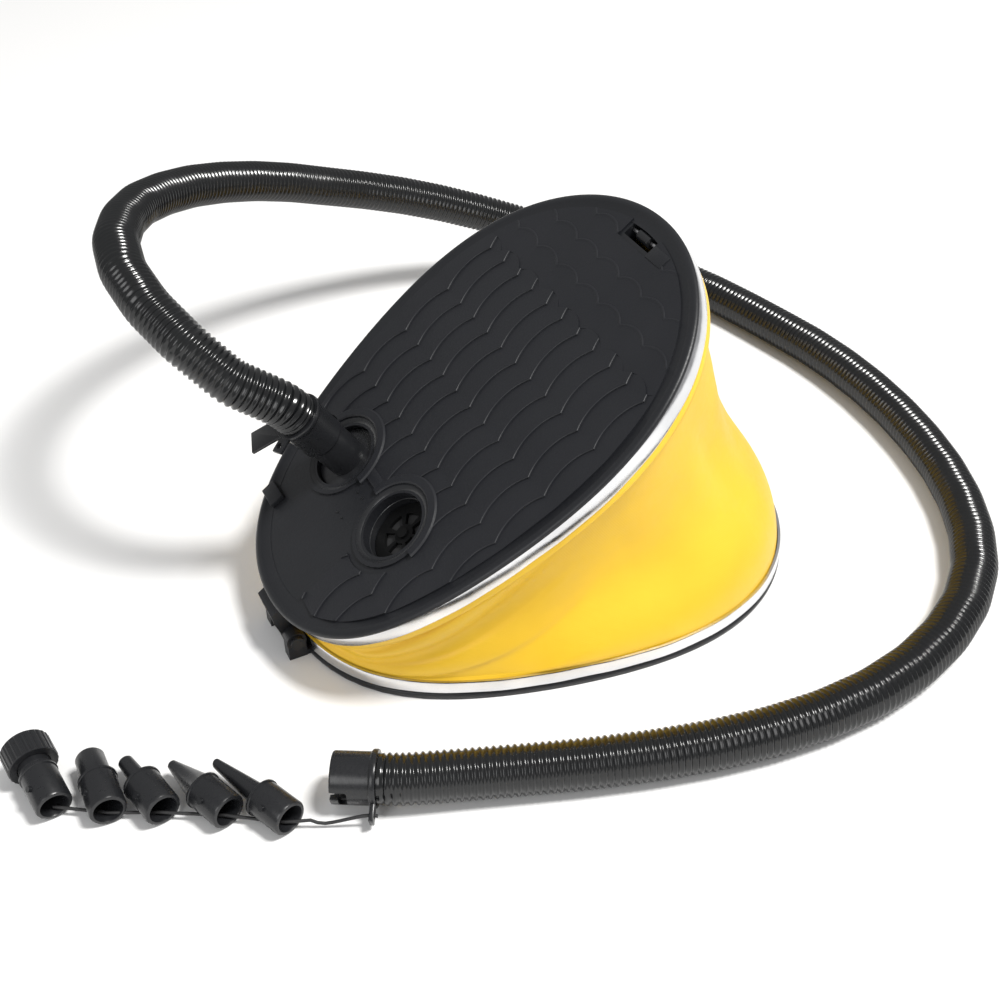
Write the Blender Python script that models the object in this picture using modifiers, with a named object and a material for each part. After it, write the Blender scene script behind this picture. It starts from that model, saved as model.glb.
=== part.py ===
"""Bellows foot air pump, standing open, with its hose and a set of nozzles.

Metres, +Z up.  The pump stands on Z = 0.  The hinge is at the -X end and the
pedal opens at the +X end.  Pedal parts are modelled as if the pedal were shut
and are carried to the open position by the empty on the hinge axis.
"""
import math

import bmesh
import bpy
import numpy as np
from mathutils import Matrix, Vector

# Driving dimensions
BASE_X = 0.00805           # centre of the base, so the pump's box is centred on the origin
HALF_LENGTH = 0.150        # pedal outline, hinge end to open end
HALF_WIDTH = 0.1203        # before the outline's shape terms below
EGG = 0.053                # makes the open end wider
BLUNT = 0.065              # fills out both ends
TAPER = -0.030             # third shape term of the outline
BASE_GROWTH = 0.0027       # the base stands this much outside the pedal
OUTLINE_STEPS = 64

OPEN_ANGLE = math.radians(35.3)
HINGE_X = BASE_X - 0.1585
HINGE_Z = 0.0125
PEDAL_X = BASE_X - 0.0017  # pedal centre when shut
PEDAL_TOP = 0.0337         # rim height when shut

RIM = 0.0040               # rim flange height
WALL_IN = 0.0030           # wall stands this far inside the rim
WALL = 0.0022
FLOOR = 0.0025
BASE_WALL_TOP = 0.0130
PEDAL_WALL_DEPTH = 0.0140
GAP = 0.0003
CLOTH = 0.0008
BAND = 0.0008
BAND_WIDTH = 0.0075

KNUCKLE_R = 0.0058
PIN_R = 0.0025
PIN_CLEARANCE = 0.0001
KNUCKLE_SPLIT = 0.0115     # pedal knuckle's half length
KNUCKLE_END = 0.0200       # outer end of the base knuckles

PORT_U = -0.069            # ports, measured from the pedal centre
INTAKE_V = -0.028
OUTLET_V = 0.044
PORT_R = 0.0197
PORT_WALL = 0.0025
SEAT_R = PORT_R - GAP
SEAT_LOW = 0.0210
SEAT_THICK = 0.0020
FLAP_R = 0.0168
FLAP_THICK = 0.0010
FLAP_GAP = 0.00035

PIPE_R = 0.0120
SPIGOT_R = 0.00975
CUFF_R = 0.01365
CUFF_BORE = 0.0101
CUFF_LENGTH = 0.0202
FLANGE_R = 0.0150
FLANGE_THICK = 0.0030
CUFF_START = 0.0200        # cuff mouth above the pedal's rim plane
HOSE_R = 0.0135

LATCH_U = 0.137
LATCH_Z = 0.0300
LATCH_REST = math.radians(-12.0)

SPRING_X = -0.012          # from the base centre
SPRING_R = 0.0270
SPRING_WIRE = 0.0016
SPRING_TURNS = 6.5

BODY_R = 0.00975           # nozzle body, which plugs into the cuff
SOCKET_R = 0.0072
TIE_R = 0.0009

# Hose centreline, from the pump to the free end, lying on the floor from the bend behind it
HOSE_ROUTE = [
    (-0.136, 0.046, 0.131), (-0.152, 0.056, 0.148), (-0.166, 0.073, 0.163),
    (-0.176, 0.098, 0.174), (-0.180, 0.127, 0.181), (-0.175, 0.163, 0.183),
    (-0.153, 0.211, 0.176), (-0.115, 0.253, 0.161), (-0.073, 0.283, 0.143),
    (-0.033, 0.302, 0.125), (0.006, 0.313, 0.107), (0.045, 0.318, 0.091),
    (0.083, 0.318, 0.075), (0.120, 0.312, 0.059), (0.163, 0.296, 0.041),
    (0.203, 0.270, 0.027), (0.234, 0.234, 0.018), (0.255, 0.191, 0.0140),
    (0.268, 0.140, 0.0138), (0.278, 0.090, 0.0138), (0.281, 0.035, 0.0138),
    (0.275, -0.025, 0.0138), (0.258, -0.085, 0.0138), (0.227, -0.139, 0.0138),
    (0.184, -0.175, 0.0138), (0.130, -0.196, 0.0138), (0.073, -0.201, 0.0138),
    (0.014, -0.193, 0.0138), (-0.043, -0.177, 0.0139), (-0.096, -0.158, 0.0142),
]
HOSE_END = Vector((-0.1485, -0.1372, 0.0155))
END_DIRECTION = Vector((-0.870, 0.493, 0.0)).normalized()
HOSE_POINT_SPACING = 0.032

# Nozzles on the floor: mouth centre (x, y) and the direction its tip points, in degrees
NOZZLE_PLACES = {
    "nozzle_screw_body": (-0.3000, -0.0750, 97.0),
    "nozzle_wide": (-0.2765, -0.0905, 89.5),
    "nozzle_narrow": (-0.2515, -0.1025, 102.0),
    "nozzle_cone": (-0.2225, -0.1190, 110.5),
    "nozzle_slant": (-0.1965, -0.1370, 112.5),
}
COLLAR_LEAN = math.radians(7.0)  # the screw nozzle rests on its wide collar
TIE_HOLE = (0, 0.0056, 0.0042)  # where the tie cord crosses each socket, low and near the mouth
PIN_TILT = math.radians(38)

BLACK = (0.022, 0.023, 0.027)
YELLOW = (0.86, 0.53, 0.035)
STEEL = (0.62, 0.63, 0.64)
RUBBER = (0.02, 0.02, 0.021)

for old in list(bpy.data.objects):
    bpy.data.objects.remove(old, do_unlink=True)

parts = bpy.data.collections.new("foot_air_pump")
cutters = bpy.data.collections.new("cutters")
bpy.context.scene.collection.children.link(parts)
bpy.context.scene.collection.children.link(cutters)


def empty(name, place, rotation=(0, 0, 0)):
    """An axis for parts to hang on."""
    obj = bpy.data.objects.new(name, None)
    obj.location = place
    obj.rotation_euler = rotation
    cutters.objects.link(obj)
    return obj


pedal_pivot = empty("pedal_pivot", (HINGE_X, 0, HINGE_Z), (0, -OPEN_ANGLE, 0))


def material(name, colour, roughness, metallic=0.0):
    mat = bpy.data.materials.new(name)
    mat.use_nodes = True
    shader = mat.node_tree.nodes["Principled BSDF"]
    shader.inputs["Base Color"].default_value = (*colour, 1.0)
    shader.inputs["Roughness"].default_value = roughness
    shader.inputs["Metallic"].default_value = metallic
    return mat


def add(name, mesh, colour=None, roughness=0.4, metallic=0.0, smooth=30):
    """Put a mesh in the scene as a part, or as a hidden cutter when it has no colour."""
    obj = bpy.data.objects.new(name, mesh)
    if colour is None:
        cutters.objects.link(obj)
        obj.hide_render = True
        obj.display_type = "WIRE"
        return obj
    parts.objects.link(obj)
    mesh.materials.append(material(name, colour, roughness, metallic))
    mesh.shade_smooth()
    mesh.set_sharp_from_angle(angle=math.radians(smooth))
    return obj


def on_pedal(obj):
    """Hang a part, modelled where it is with the pedal shut, on the hinge axis."""
    obj.parent = pedal_pivot
    obj.matrix_parent_inverse = Matrix.Translation((-HINGE_X, 0, -HINGE_Z))
    return obj


def cut(obj, tool, operation="DIFFERENCE"):
    """Take a tool's shape away from a part that still stands at the origin; the tool rides on it."""
    tool.parent = obj
    step = obj.modifiers.new(operation.lower(), "BOOLEAN")
    step.operation = operation
    step.solver = "EXACT"
    step.object = tool
    return obj


def join(obj, tool):
    return cut(obj, tool, "UNION")


def outline(offset, growth=0.0):
    """Points of the pump's outline, moved outwards by an offset."""
    a = HALF_LENGTH + growth + offset
    b = HALF_WIDTH + growth + offset
    points = []
    for step in range(OUTLINE_STEPS):
        t = 2 * math.pi * step / OUTLINE_STEPS
        swell = 1 + EGG * math.cos(t) + BLUNT * math.cos(2 * t) + TAPER * math.cos(3 * t)
        points.append((a * math.cos(t), b * math.sin(t) * swell))
    return points


def slab(name, points, low, high, centre_x, **look):
    """A flat outline given height between two levels."""
    work = bmesh.new()
    floor = work.faces.new([work.verts.new((x + centre_x, y, low)) for x, y in points])
    raised = bmesh.ops.extrude_face_region(work, geom=[floor])
    lifted = [piece for piece in raised["geom"] if isinstance(piece, bmesh.types.BMVert)]
    bmesh.ops.translate(work, verts=lifted, vec=(0, 0, high - low))
    bmesh.ops.recalc_face_normals(work, faces=work.faces)
    mesh = bpy.data.meshes.new(name)
    work.to_mesh(mesh)
    work.free()
    return add(name, mesh, **look)


def prism(name, profile, half_width, **look):
    """A profile in the XZ plane, measured from the hinge axis, given width along Y."""
    work = bmesh.new()
    side = work.faces.new([work.verts.new((HINGE_X + x, -half_width, HINGE_Z + z)) for x, z in profile])
    drawn = bmesh.ops.extrude_face_region(work, geom=[side])
    moved = [piece for piece in drawn["geom"] if isinstance(piece, bmesh.types.BMVert)]
    bmesh.ops.translate(work, verts=moved, vec=(0, 2 * half_width, 0))
    bmesh.ops.recalc_face_normals(work, faces=work.faces)
    mesh = bpy.data.meshes.new(name)
    work.to_mesh(mesh)
    work.free()
    return add(name, mesh, **look)


def box(name, low, high, **look):
    """A block between two corners."""
    work = bmesh.new()
    size = [high[i] - low[i] for i in range(3)]
    centre = [(high[i] + low[i]) / 2 for i in range(3)]
    bmesh.ops.create_cube(work, size=1.0)
    bmesh.ops.scale(work, verts=work.verts, vec=size)
    bmesh.ops.translate(work, verts=work.verts, vec=centre)
    mesh = bpy.data.meshes.new(name)
    work.to_mesh(mesh)
    work.free()
    return add(name, mesh, **look)


def rod(name, radius, start, end, sides=32, end_radius=None, **look):
    """A round bar or cone between two points."""
    start, end = Vector(start), Vector(end)
    work = bmesh.new()
    bmesh.ops.create_cone(
        work, cap_ends=True, segments=sides, radius1=radius,
        radius2=radius if end_radius is None else end_radius, depth=(end - start).length)
    turn = (end - start).to_track_quat("Z", "Y").to_matrix().to_4x4()
    bmesh.ops.transform(work, matrix=Matrix.Translation((start + end) / 2) @ turn, verts=work.verts)
    mesh = bpy.data.meshes.new(name)
    work.to_mesh(mesh)
    work.free()
    return add(name, mesh, **look)


def turned(name, profile, place=Matrix(), sides=32, **look):
    """A closed (radius, height) profile turned about Z; it keeps clear of the axis."""
    mesh = bpy.data.meshes.new(name)
    count = len(profile)
    mesh.from_pydata([(r, 0, z) for r, z in profile], [(i, (i + 1) % count) for i in range(count)], [])
    holder = bpy.data.objects.new(name, mesh)
    cutters.objects.link(holder)
    spin = holder.modifiers.new("turn", "SCREW")
    spin.steps = sides
    spin.render_steps = sides
    spin.use_merge_vertices = True
    spin.merge_threshold = 0.00001
    bpy.context.view_layer.update()
    solid = bpy.data.meshes.new_from_object(holder.evaluated_get(bpy.context.evaluated_depsgraph_get()))
    bpy.data.objects.remove(holder)
    work = bmesh.new()
    work.from_mesh(solid)
    bmesh.ops.remove_doubles(work, verts=work.verts, dist=0.00001)
    bmesh.ops.recalc_face_normals(work, faces=work.faces)
    bmesh.ops.transform(work, matrix=place, verts=work.verts)
    work.to_mesh(solid)
    work.free()
    return add(name, solid, **look)


def ring(low, high, inner, outer):
    """Profile of a plain ring."""
    return [(outer, high), (outer, low), (inner, low), (inner, high)]


def tube_along(name, points, radius, resolution, **look):
    """A capped round tube on a poly line."""
    curve = bpy.data.curves.new(name, "CURVE")
    curve.dimensions = "3D"
    curve.bevel_depth = radius
    curve.bevel_resolution = resolution
    curve.use_fill_caps = True
    spline = curve.splines.new("POLY")
    spline.points.add(len(points) - 1)
    for point, place in zip(spline.points, points):
        point.co = (*place, 1)
    obj = bpy.data.objects.new(name, curve)
    parts.objects.link(obj)
    curve.materials.append(material(name, look["colour"], look["roughness"], look.get("metallic", 0.0)))
    return obj


def smooth_points(route, spacing):
    """Evenly spaced points on a smooth curve through the route's points."""
    route = [Vector(p) for p in route]
    padded = [2 * route[0] - route[1]] + route + [2 * route[-1] - route[-2]]
    fine = []
    for i in range(1, len(padded) - 2):
        a, b, c, d = padded[i - 1:i + 3]
        for step in range(20):
            t = step / 20
            fine.append(0.5 * ((2 * b) + (c - a) * t + (2 * a - 5 * b + 4 * c - d) * t * t
                               + (3 * b - a - 3 * c + d) * t ** 3))
    fine.append(route[-1])
    lengths = [0.0]
    for before, after in zip(fine, fine[1:]):
        lengths.append(lengths[-1] + (after - before).length)
    count = max(2, round(lengths[-1] / spacing))
    wanted = np.linspace(0, lengths[-1], count + 1)
    table = np.array([tuple(p) for p in fine])
    return [Vector([float(np.interp(w, lengths, table[:, k])) for k in range(3)]) for w in wanted]


def pedal_to_world(point):
    """Where a point of the shut pedal is with the pedal open."""
    turn = Matrix.Rotation(-OPEN_ANGLE, 4, "Y")
    hinge = Vector((HINGE_X, 0, HINGE_Z))
    return turn @ (Vector(point) - hinge) + hinge


def make_base():
    black = {"colour": BLACK, "roughness": 0.42}
    shell = slab("base_shell", outline(0, BASE_GROWTH), 0, RIM, BASE_X, **black)
    wall = slab("base_wall", outline(-WALL_IN, BASE_GROWTH), 0.001, BASE_WALL_TOP, BASE_X)
    join(shell, wall)
    hollow = slab("base_hollow", outline(-WALL_IN - WALL, BASE_GROWTH), FLOOR, 0.03, BASE_X)
    cut(shell, hollow)
    seat = turned("base_spring_seat", ring(0.0015, 0.0085, 0.0215, 0.0238),
                  Matrix.Translation((BASE_X + SPRING_X, 0, 0)))
    join(shell, seat)
    for side in (-1, 1):
        near, far = sorted((side * (KNUCKLE_SPLIT + GAP), side * KNUCKLE_END))
        barrel = rod("base_knuckle", KNUCKLE_R, (HINGE_X, near, HINGE_Z), (HINGE_X, far, HINGE_Z), 28)
        join(barrel, box("base_knuckle_post", (HINGE_X - KNUCKLE_R + 0.0005, near + 0.0002, 0.0002),
                         (HINGE_X + KNUCKLE_R - 0.0005, far - 0.0002, HINGE_Z)))
        join(barrel, box("base_knuckle_foot", (HINGE_X - KNUCKLE_R + 0.0010, near + 0.0004, 0.0004),
                         (HINGE_X + 0.0120, far - 0.0004, RIM - 0.0004)))
        join(shell, barrel)
        keeper = box("base_keeper_post", (BASE_X + 0.1245, side * 0.0095 - 0.0012, 0.0015),
                     (BASE_X + 0.1285, side * 0.0095 + 0.0012, 0.0169))
        join(shell, keeper)
    join(shell, rod("base_keeper_bar", 0.0015, (BASE_X + 0.1265, -0.010, 0.0152),
                    (BASE_X + 0.1265, 0.010, 0.0152), 16))
    cut(shell, rod("base_pin_hole", PIN_R + PIN_CLEARANCE, (HINGE_X, -0.03, HINGE_Z),
                   (HINGE_X, 0.03, HINGE_Z), 24))
    inset = WALL_IN - GAP - CLOTH - GAP
    low = RIM + 0.0006
    band = slab("base_band", outline(-inset + BAND, BASE_GROWTH), low, low + BAND_WIDTH, BASE_X,
                colour=STEEL, roughness=0.25, metallic=1.0)
    cut(band, slab("base_band_hollow", outline(-inset, BASE_GROWTH), 0, 0.03, BASE_X))


def make_hinge_pin():
    head = KNUCKLE_END + GAP
    pin = rod("hinge_pin", PIN_R, (HINGE_X, -head - 0.0015, HINGE_Z), (HINGE_X, head + 0.0035, HINGE_Z),
              24, colour=STEEL, roughness=0.3, metallic=1.0)
    join(pin, rod("pin_head", 0.0042, (HINGE_X, -head - 0.0022, HINGE_Z), (HINGE_X, -head, HINGE_Z), 24))
    turned("pin_clip", ring(0, 0.0009, PIN_R + PIN_CLEARANCE, 0.0050),
           Matrix.Translation((HINGE_X, head + 0.0012, HINGE_Z)) @ Matrix.Rotation(math.pi / 2, 4, "X"),
           sides=24, colour=STEEL, roughness=0.3, metallic=1.0)


def make_top_shell():
    low_rim = PEDAL_TOP - RIM
    shell = slab("top_shell", outline(0), low_rim, PEDAL_TOP, PEDAL_X, colour=BLACK, roughness=0.42)
    bottom = PEDAL_TOP - PEDAL_WALL_DEPTH
    join(shell, slab("top_wall", outline(-WALL_IN), bottom, low_rim + 0.001, PEDAL_X))
    cut(shell, slab("top_hollow", outline(-WALL_IN - WALL), bottom - 0.01, PEDAL_TOP - FLOOR - 0.0008,
                    PEDAL_X))
    for v in (INTAKE_V, OUTLET_V):
        place = Matrix.Translation((PEDAL_X + PORT_U, v, 0))
        tube = turned("port_tube", ring(bottom, PEDAL_TOP - 0.001, PORT_R - 0.004, PORT_R + PORT_WALL),
                      place)
        join(shell, tube)
        cut(shell, rod("port_bore", PORT_R, (PEDAL_X + PORT_U, v, bottom + 0.001),
                       (PEDAL_X + PORT_U, v, 0.05), 40))
        cut(shell, rod("port_throat", FLAP_R + 0.0007, (PEDAL_X + PORT_U, v, 0.01),
                       (PEDAL_X + PORT_U, v, 0.03), 40))
        collar = turned("port_collar", ring(PEDAL_TOP - 0.001, PEDAL_TOP + 0.0012, PORT_R + 0.0044,
                                            PORT_R + 0.0068), place)
        join(shell, collar)
    seat_x = PEDAL_X - (PEDAL_X - BASE_X) + SPRING_X
    seat = turned("top_spring_seat", ring(PEDAL_TOP - 0.0095, PEDAL_TOP - 0.003, 0.0215, 0.0238),
                  Matrix.Translation((seat_x, 0, 0)))
    join(shell, seat)
    web = [(-0.0052, 0), (0.0051, 0), (0.0068, 0.0085), (0.0068, 0.0169), (0.0150, 0.0169),
           (0.0150, 0.0190), (0.0008, 0.0190), (-0.0022, 0.0120)]
    join(shell, prism("top_hinge_web", web, KNUCKLE_SPLIT - 0.0002))
    join(shell, rod("top_knuckle", KNUCKLE_R, (HINGE_X, -KNUCKLE_SPLIT, HINGE_Z),
                    (HINGE_X, KNUCKLE_SPLIT, HINGE_Z), 28))
    cut(shell, rod("top_pin_hole", PIN_R + PIN_CLEARANCE, (HINGE_X, -0.03, HINGE_Z),
                   (HINGE_X, 0.03, HINGE_Z), 24))
    latch_x = PEDAL_X + LATCH_U
    pocket = box("latch_pocket_wall", (latch_x - 0.0080, -0.0150, LATCH_Z - 0.0045),
                 (latch_x + 0.0070, 0.0150, PEDAL_TOP - 0.001))
    join(shell, pocket)
    cut(shell, box("latch_slot", (latch_x - 0.0058, -0.0128, 0.0), (latch_x + 0.0055, 0.0128, 0.05)))
    cut(shell, rod("latch_pin_hole", 0.0016, (latch_x, -0.0142, LATCH_Z), (latch_x, 0.0142, LATCH_Z), 16))
    return on_pedal(shell)


def make_top_band():
    inset = WALL_IN - GAP - CLOTH - GAP
    high = PEDAL_TOP - RIM - 0.0006
    band = slab("top_band", outline(-inset + BAND), high - BAND_WIDTH, high, PEDAL_X,
                colour=STEEL, roughness=0.25, metallic=1.0)
    cut(band, slab("top_band_hollow", outline(-inset), -0.01, 0.05, PEDAL_X))
    on_pedal(band)


def make_valve(prefix, v, opens_out):
    """A grid with four windows, a rubber disc that lifts off it and the peg that keeps the disc."""
    place = Matrix.Translation((PEDAL_X + PORT_U, v, 0))
    high = SEAT_LOW + SEAT_THICK
    grid = turned(prefix + "_grid", ring(SEAT_LOW, high, 0.0018, SEAT_R), place,
                  colour=BLACK, roughness=0.45)
    for quarter in range(4):
        turn = Matrix.Rotation(math.pi / 2 * quarter + math.pi / 4, 4, "Z")
        window = box(prefix + "_window", (0.0058, -0.0042, 0.01), (0.0130, 0.0042, 0.03))
        window.matrix_world = place @ turn
        cut(grid, window)
    if opens_out:
        flap_low = high + FLAP_GAP
        peg_low, peg_high = SEAT_LOW - 0.0016, high + FLAP_GAP + FLAP_THICK + 0.0035
    else:
        flap_low = SEAT_LOW - FLAP_GAP - FLAP_THICK
        peg_low, peg_high = flap_low - 0.0035, high + 0.0016
    flap = turned(prefix + "_flap", ring(flap_low, flap_low + FLAP_THICK, 0.0019, FLAP_R), place,
                  colour=RUBBER, roughness=0.7)
    centre = (PEDAL_X + PORT_U, v)
    peg = rod(prefix + "_peg", 0.0015, (*centre, peg_low), (*centre, peg_high), 16,
              colour=BLACK, roughness=0.35)
    join(peg, rod(prefix + "_peg_foot", 0.0031, (*centre, peg_low), (*centre, peg_low + 0.0012), 16))
    join(peg, rod(prefix + "_peg_head", 0.0031, (*centre, peg_high - 0.0012), (*centre, peg_high), 16))
    for obj in (grid, flap, peg):
        on_pedal(obj)


def make_latch():
    latch_x = PEDAL_X + LATCH_U
    pin = rod("latch_pin", 0.0014, (latch_x, -0.0139, LATCH_Z), (latch_x, 0.0139, LATCH_Z), 16,
              colour=STEEL, roughness=0.3, metallic=1.0)
    on_pedal(pin)
    hook_pivot = empty("latch_pivot", (latch_x, 0, LATCH_Z), (0, LATCH_REST, 0))
    on_pedal(hook_pivot)
    hook = box("latch_hook", (-0.0022, -0.0055, -0.0195), (0.0012, 0.0055, 0.0030),
               colour=BLACK, roughness=0.4)
    join(hook, box("latch_barb", (-0.0085, -0.0053, -0.0205), (0.0010, 0.0053, -0.0183)))
    join(hook, rod("latch_boss", 0.0034, (0, -0.0057, 0), (0, 0.0057, 0), 20))
    cut(hook, rod("latch_hole", 0.0016, (0, -0.02, 0), (0, 0.02, 0), 16))
    hook.parent = hook_pivot


def pipe_frame():
    """Port axis of the outlet, at the rim plane, with +Z out of the pedal."""
    return Matrix.Translation((PEDAL_X + PORT_U, OUTLET_V, PEDAL_TOP))


def make_outlet_pipe():
    seat = -0.0055
    groove = CUFF_START + 0.0100
    profile = [(PIPE_R, seat + 0.002), (PORT_R - GAP, seat + 0.002), (PORT_R - GAP, seat),
               (0.0073, seat), (0.0073, CUFF_START + 0.016), (SPIGOT_R, CUFF_START + 0.016),
               (SPIGOT_R, groove + 0.0022), (0.0084, groove + 0.0022), (0.0084, groove),
               (SPIGOT_R, groove), (SPIGOT_R, CUFF_START - 0.0004), (PIPE_R, CUFF_START - 0.0004)]
    pipe = turned("outlet_pipe", profile, pipe_frame(), colour=BLACK, roughness=0.38)
    on_pedal(pipe)
    seal = turned("outlet_seal", ring(groove + 0.0002, groove + 0.0020, 0.0086, SPIGOT_R + 0.0001),
                  pipe_frame(), colour=RUBBER, roughness=0.6)
    on_pedal(seal)


def cuff_solid(name, lever):
    """Bayonet cuff with its mouth at z = 0, flange at the hose end and an eyelet towards -X."""
    end = CUFF_LENGTH
    profile = [(CUFF_R, 0), (CUFF_R, end), (FLANGE_R, end), (FLANGE_R, end + FLANGE_THICK),
               (0.0090, end + FLANGE_THICK), (0.0090, end - 0.003), (CUFF_BORE, end - 0.003),
               (CUFF_BORE, 0)]
    cuff = turned(name, profile, colour=BLACK, roughness=0.35)
    join(cuff, box("cuff_tab", (-0.0235, -0.0035, end + 0.0002),
                   (-0.0130, 0.0035, end + FLANGE_THICK - 0.0002)))
    if lever:
        grip = box("cuff_lever", (-0.0330, -0.0075, end + 0.0004), (-0.0120, 0.0075, end + 0.0024))
        grip.rotation_euler = (0, 0, math.radians(-47))
        join(cuff, grip)
    cut(cuff, rod("cuff_tab_hole", 0.0018, (-0.0195, 0, 0), (-0.0195, 0, 0.04), 14))
    for side in (0, 1):
        entry = box("cuff_slot", (0.0080, -0.0022, -0.001), (0.0200, 0.0022, 0.0085))
        hook = box("cuff_slot_hook", (0.0080, -0.0022, 0.0045), (0.0200, 0.0075, 0.0087))
        for slot in (entry, hook):
            slot.rotation_euler = (0, 0, math.radians(155) + math.pi * side)
            cut(cuff, slot)
    return cuff


def make_pump_cuff():
    pivot = empty("cuff_pivot", (PEDAL_X + PORT_U, OUTLET_V, PEDAL_TOP + CUFF_START), (0, 0, math.radians(25)))
    on_pedal(pivot)
    cuff_solid("pump_cuff", True).parent = pivot


def end_cuff_frame():
    """Mouth of the free cuff; its +Z points back along the hose and its -X eyelet lies low in front."""
    back = -END_DIRECTION
    side = Vector((0, 0, 1)).cross(back).normalized()
    low = math.radians(22)
    eyelet = (-side * math.cos(low) - Vector((0, 0, 1)) * math.sin(low)).normalized()
    x_axis = -eyelet
    y_axis = back.cross(x_axis)
    mouth = HOSE_END + END_DIRECTION * (CUFF_LENGTH + FLANGE_THICK + GAP)
    frame = Matrix((x_axis, y_axis, back)).transposed().to_4x4()
    frame.translation = mouth
    return frame


def make_end_cuff():
    frame = end_cuff_frame()
    pivot = empty("end_cuff_place", (0, 0, 0))
    pivot.matrix_world = frame
    cuff_solid("end_cuff", False).parent = pivot


def make_hose():
    flange = pedal_to_world((PEDAL_X + PORT_U, OUTLET_V,
                             PEDAL_TOP + CUFF_START + CUFF_LENGTH + FLANGE_THICK + GAP))
    out = pedal_to_world((PEDAL_X + PORT_U, OUTLET_V, PEDAL_TOP + 0.060)) - flange
    straight = 0.012
    route = [flange + out.normalized() * straight, *HOSE_ROUTE, HOSE_END - END_DIRECTION * straight]
    points = [flange, *smooth_points(route, HOSE_POINT_SPACING), HOSE_END]
    tube_along("hose", points, HOSE_R, 3, colour=BLACK, roughness=0.3)


def nozzle_frame(name):
    """Mouth centre of a nozzle lying on the floor, +Z towards its tip."""
    x, y, heading = NOZZLE_PLACES[name]
    turn = math.radians(heading)
    tip = Vector((math.cos(turn), math.sin(turn), 0))
    up = Vector((0, 0, 1))
    if name == "nozzle_screw_body":
        tip, up = tip * math.cos(COLLAR_LEAN) + up * math.sin(COLLAR_LEAN), \
            up * math.cos(COLLAR_LEAN) - tip * math.sin(COLLAR_LEAN)
    frame = Matrix((tip.cross(up), -up, tip)).transposed().to_4x4()
    frame.translation = (x, y, BODY_R + GAP)
    return frame


NOZZLE_TIPS = {
    "nozzle_screw_body": [(0.0086, 0.0250), (0.0086, 0.0440), (0.0060, 0.0440)],
    "nozzle_wide": [(0.0078, 0.0250), (0.0076, 0.0400), (0.0060, 0.0400)],
    "nozzle_narrow": [(0.0048, 0.0260), (0.0040, 0.0420), (0.0024, 0.0420)],
    "nozzle_cone": [(0.0080, 0.0235), (0.0024, 0.0480), (0.0010, 0.0480)],
    "nozzle_slant": [(0.0058, 0.0240), (0.0024, 0.0580), (0.0012, 0.0580)],
}


def make_nozzles():
    order = list(NOZZLE_PLACES)
    holes = {name: nozzle_frame(name) @ Vector(TIE_HOLE) for name in order}
    for index, name in enumerate(order):
        frame = nozzle_frame(name)
        shoulder, tip, bore = NOZZLE_TIPS[name]
        profile = [tip, shoulder, (BODY_R, shoulder[1] - 0.0030), (BODY_R, 0.0006), (BODY_R - 0.0006, 0),
                   (SOCKET_R, 0), (SOCKET_R, 0.0190), (bore[0], 0.0210), bore]
        nozzle = turned(name, profile, frame, sides=24, colour=BLACK, roughness=0.35)
        for side in (-1, 1):
            outwards = Vector((side * math.cos(PIN_TILT), side * math.sin(PIN_TILT), 0))
            join(nozzle, rod("bayonet_pin", 0.0016, frame @ (outwards * 0.0085 + Vector((0, 0, 0.0115))),
                             frame @ (outwards * 0.0112 + Vector((0, 0, 0.0115))), 12))
        after = holes[order[index + 1]] if index + 1 < len(order) else None
        before = holes[order[index - 1]] if index else None
        here = holes[name]
        for other in (before, after):
            if other is None:
                continue
            away = (other - here).normalized()
            cut(nozzle, rod("tie_hole", 0.0019, here, here + away * 0.022, 12))
        if after is None:
            away = (tie_anchor() - here).normalized()
            cut(nozzle, rod("tie_hole", 0.0019, here, here + away * 0.022, 12))
        if name == "nozzle_slant":
            slice_off = box("slant_cut", (-0.02, 0, -0.02), (0.02, 0.02, 0.02))
            slice_off.matrix_world = frame @ Matrix.Translation((0, -0.0026, 0.0575)) \
                @ Matrix.Rotation(math.radians(62), 4, "X")
            cut(nozzle, slice_off)
    frame = nozzle_frame("nozzle_screw_body")
    collar = turned("nozzle_collar", ring(0.0290, 0.0425, 0.0089, 0.0132), frame, sides=28,
                    colour=BLACK, roughness=0.4)
    return collar


def tie_anchor():
    """The eyelet of the free cuff."""
    return end_cuff_frame() @ Vector((-0.0195, 0, CUFF_LENGTH - 0.0020))


def make_tie():
    points = [nozzle_frame(name) @ Vector(TIE_HOLE) for name in NOZZLE_PLACES]
    last = points[-1]
    anchor = tie_anchor()
    sag = (last + anchor) / 2
    sag.z = 0.0030
    loose = smooth_points([last + (anchor - last).normalized() * 0.0125, sag, anchor], 0.005)
    tube_along("tie_cord", [*points, *loose], TIE_R, 2, colour=RUBBER, roughness=0.6)


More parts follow.
